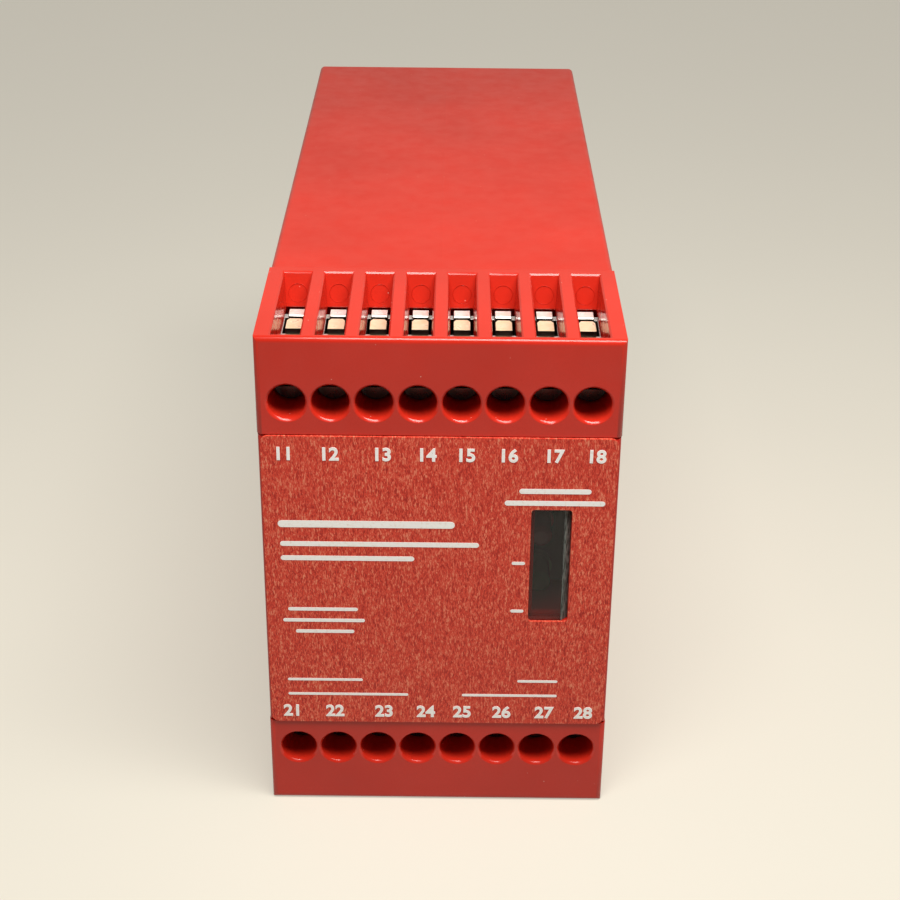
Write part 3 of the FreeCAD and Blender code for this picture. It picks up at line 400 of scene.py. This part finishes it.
# Plain bars and two ticks in the places of lines of print: left end, level, length and height, in millimetres from
# the origin.
LABEL_BARS = (
    (-20.3, 43.6, 22.3, 1.00),
    (-20.1, 40.7, 25.2, 0.70),
    (-20.1, 38.6, 17.0, 0.70),
    (10.0, 48.6, 9.0, 0.70),
    (8.2, 46.9, 12.6, 0.70),
    (9.3, 38.1, 1.7, 0.45),
    (9.3, 30.9, 1.7, 0.45),
    (-19.4, 30.9, 9.0, 0.50),
    (-20.1, 29.2, 10.6, 0.50),
    (-18.5, 27.5, 7.6, 0.50),
    (-19.8, 19.9, 9.9, 0.38),
    (-19.8, 17.6, 15.9, 0.38),
    (10.5, 19.9, 5.3, 0.38),
    (3.2, 17.6, 12.6, 0.38),
)


def written(text, across, level):
    """Raised digits on the label, centred on a point, as a mesh."""
    curve = bpy.data.curves.new("digits", "FONT")
    curve.body = text
    curve.size = FONT_SIZE
    curve.align_x = "CENTER"
    curve.offset = DIGIT_WEIGHT
    curve.extrude = PRINT_THICKNESS
    curve.resolution_u = CURVE_STEPS
    text_object = bpy.data.objects.new("digits", curve)
    mesh = bpy.data.meshes.new_from_object(text_object)
    bpy.data.objects.remove(text_object)
    upright = Matrix.Rotation(math.radians(90), 4, "X")
    mesh.transform(Matrix.Translation((across, PRINT_PLANE, level - DIGIT_HEIGHT / 2)) @ upright)
    return mesh


def bar(across, level, length, height):
    """Flat printed bar with round ends, from its left end, as a mesh."""
    radius = height / 2
    outline = []
    for centre, start in ((across + length - radius, -90), (across + radius, 90)):
        for step in range(BAR_END_STEPS + 1):
            angle = math.radians(start + 180 / BAR_END_STEPS * step)
            outline.append((centre + radius * math.cos(angle), level + radius * math.sin(angle)))
    mesh = bpy.data.meshes.new("bar")
    front = [(x, PRINT_PLANE, z) for x, z in outline]
    back = [(x, LABEL_LOW.y, z) for x, z in outline]
    count = len(outline)
    sides = [(i, (i + 1) % count, count + (i + 1) % count, count + i) for i in range(count)]
    mesh.from_pydata(front + back, [], [tuple(range(count)), *sides])
    return mesh


def joined(name, meshes, material):
    """One piece made of several meshes, riding on the case."""
    vertices, faces = [], []
    for mesh in meshes:
        start = len(vertices)
        vertices += [vertex.co[:] for vertex in mesh.vertices]
        faces += [tuple(start + index for index in face.vertices) for face in mesh.polygons]
        bpy.data.meshes.remove(mesh)
    mesh = bpy.data.meshes.new(name)
    mesh.from_pydata(vertices, [], faces)
    mesh.materials.append(material)
    piece = bpy.data.objects.new(name, mesh)
    bpy.context.scene.collection.objects.link(piece)
    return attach(piece, CASE)


def print_label():
    white = print_white("print_white")
    numbers = [written(f"{row}{pole}", place + shift * MM, level) for row, level in NUMBER_ROWS
               for pole, place, shift in zip(POLES, POLE_PLACES, NUMBER_SHIFTS)]
    joined("terminal_numbers", numbers, white)
    joined("label_bars", [bar(left * MM, level * MM, length * MM, height * MM)
                          for left, level, length, height in LABEL_BARS], white)


# --- moulding marks in the funnels ------------------------------------------------------------------------------
MARK_RADIUS = 1.25 * MM
MARK_WIDTH = 0.10 * MM
MARK_RISE = 0.045 * MM
MARK_SINK = 0.02 * MM
MARK_SEGMENTS = 48
MARK_DEPTH = 2.6 * MM  # of the ring's centre below the funnel's mouth
FUNNEL_DEPTH = 4.25 * MM
FUNNEL_REAR_SLOPE = 1.4 * MM
FUNNEL_REAR = BLOCK_LOW.y + 21.0 * MM


def ejector_mark(across, outer_face, way):
    """Thin raised ring that an ejector pin leaves on a funnel's sloping rear wall, as a mesh.

    The way into the funnel is -1 down from the top and 1 up from the bottom."""
    down = Vector((0.0, -FUNNEL_REAR_SLOPE, way * FUNNEL_DEPTH)).normalized()
    out = Vector((0.0, -FUNNEL_DEPTH, -way * FUNNEL_REAR_SLOPE)).normalized()
    centre = Vector((across, FUNNEL_REAR - FUNNEL_REAR_SLOPE * MARK_DEPTH / FUNNEL_DEPTH,
                     outer_face + way * MARK_DEPTH))
    section = ((MARK_RADIUS - MARK_WIDTH, -MARK_SINK), (MARK_RADIUS - MARK_WIDTH / 2, MARK_RISE),
               (MARK_RADIUS, -MARK_SINK))
    vertices = []
    for step in range(MARK_SEGMENTS):
        angle = 2 * math.pi * step / MARK_SEGMENTS
        spoke = Vector((math.cos(angle), 0.0, 0.0)) + down * math.sin(angle)
        vertices += [centre + spoke * radius + out * rise for radius, rise in section]
    count = len(section)
    faces = []
    for step in range(MARK_SEGMENTS):
        here, there = step * count, (step + 1) % MARK_SEGMENTS * count
        faces += [(here + i, there + i, there + (i + 1) % count, here + (i + 1) % count) for i in range(count)]
    mesh = bpy.data.meshes.new("mark")
    mesh.from_pydata([vertex[:] for vertex in vertices], [], faces)
    return mesh


def ejector_marks():
    for block, outer_face, way in (("top", BLOCK_HIGH.z, -1), ("bottom", UNDERSIDE, 1)):
        marks = [ejector_mark(place, outer_face, way) for place in POLE_PLACES]
        joined(f"{block}_ejector_marks", marks, NODES[f"{block}_terminal_block"].data.materials[0])


# --- stage ------------------------------------------------------------------------------------------------------
PAPER = (0.40, 0.375, 0.32)
PAPER_LIFT = 1.15
FLOOR_REACH = 1.6  # towards the camera
WALL_PLACE = 1.2
WALL_TOP = 1.6
STAGE_HALF_WIDTH = 2.2
BEND_RADIUS = 0.5
BEND_STEPS = 12


def seen(finish):
    """One for rays from the camera, straight or by way of a mirror or glass."""
    path = finish.add("ShaderNodeLightPath").outputs
    direct = finish.math("ADD", path["Is Camera Ray"], path["Is Glossy Ray"])
    return finish.math("MINIMUM", finish.math("ADD", direct, path["Is Transmission Ray"]), 1.0)


def stage_material(name, color, lift):
    """Plain matt paper, made brighter where it is seen, straight or in a reflection."""
    finish = Finish(name, color, 0.9)
    cloud = finish.noise(14, 2.0)
    tint = finish.mix(finish.between(cloud, 0.3, 0.7), color, shaded(color, 0.97))
    glow = finish.math("MULTIPLY", seen(finish), lift)
    return finish.set(Base_Color=tint, Emission_Color=(*color, 1.0), Emission_Strength=glow)


def floor_and_backdrop():
    """Pale sweep: a flat floor that curves up into a wall behind."""
    flat_end = WALL_PLACE - BEND_RADIUS
    profile = [(-FLOOR_REACH, 0.0), (flat_end, 0.0)]
    for step in range(1, BEND_STEPS + 1):
        angle = math.radians(90 / BEND_STEPS * step)
        profile.append((flat_end + BEND_RADIUS * math.sin(angle), BEND_RADIUS - BEND_RADIUS * math.cos(angle)))
    profile.append((WALL_PLACE, WALL_TOP))
    vertices = [(side * STAGE_HALF_WIDTH, y, z) for y, z in profile for side in (-1, 1)]
    faces = [(2 * i, 2 * i + 1, 2 * i + 3, 2 * i + 2) for i in range(len(profile) - 1)]
    mesh = bpy.data.meshes.new("backdrop")
    mesh.from_pydata(vertices, [], faces)
    mesh.shade_smooth()
    mesh.materials.append(stage_material("paper", PAPER, PAPER_LIFT))
    sweep = bpy.data.objects.new("backdrop", mesh)
    bpy.context.scene.collection.objects.link(sweep)


KEY_PLACE, KEY_AIM = (0.03, -0.122, 0.27), (0.0, -0.04, 0.05)
KEY_SIZE = (0.22, 0.09)
KEY_WATTS = 0.96
KEY_COLOR = (1.0, 0.985, 0.94)
SKY_COLOR = (0.86, 0.90, 0.95)
SKY_STRENGTH = 0.09


def lights():
    """One soft lamp above and in front of the relay, and a dim even sky."""
    light = bpy.data.lights.new("key", "AREA")
    light.shape = "RECTANGLE"
    light.size, light.size_y = KEY_SIZE
    light.energy = KEY_WATTS
    light.color = KEY_COLOR
    holder = bpy.data.objects.new("key", light)
    holder.location = KEY_PLACE
    holder.rotation_euler = (Vector(KEY_AIM) - Vector(KEY_PLACE)).to_track_quat("-Z", "Y").to_euler()
    bpy.context.scene.collection.objects.link(holder)
    world = bpy.data.worlds.new("world")
    bpy.context.scene.world = world
    world.use_nodes = True
    background = world.node_tree.nodes["Background"]
    background.inputs["Color"].default_value = (*SKY_COLOR, 1.0)
    background.inputs["Strength"].default_value = SKY_STRENGTH


CAMERA_PLACE = Vector((1.3, -253.75, 156.6)) * MM
CAMERA_PITCH, CAMERA_ROLL = math.radians(27.71), math.radians(0.59)
FOCAL_LENGTH, SENSOR_WIDTH = 71.44, 36.0  # in millimetres


def camera():
    """In front of the relay and above it, looking down on it."""
    data = bpy.data.cameras.new("camera")
    data.lens = FOCAL_LENGTH
    data.sensor_width = SENSOR_WIDTH
    holder = bpy.data.objects.new("camera", data)
    holder.matrix_world = (Matrix.Translation(CAMERA_PLACE)
                           @ Matrix.Rotation(math.radians(90) - CAMERA_PITCH, 4, "X")
                           @ Matrix.Rotation(CAMERA_ROLL, 4, "Z"))
    bpy.context.scene.collection.objects.link(holder)
    bpy.context.scene.camera = holder


dress_nodes()
soften_nodes()
squeezed_spring()
ejector_marks()
print_label()
floor_and_backdrop()
lights()
camera()
bpy.context.scene.view_settings.view_transform = "Standard"
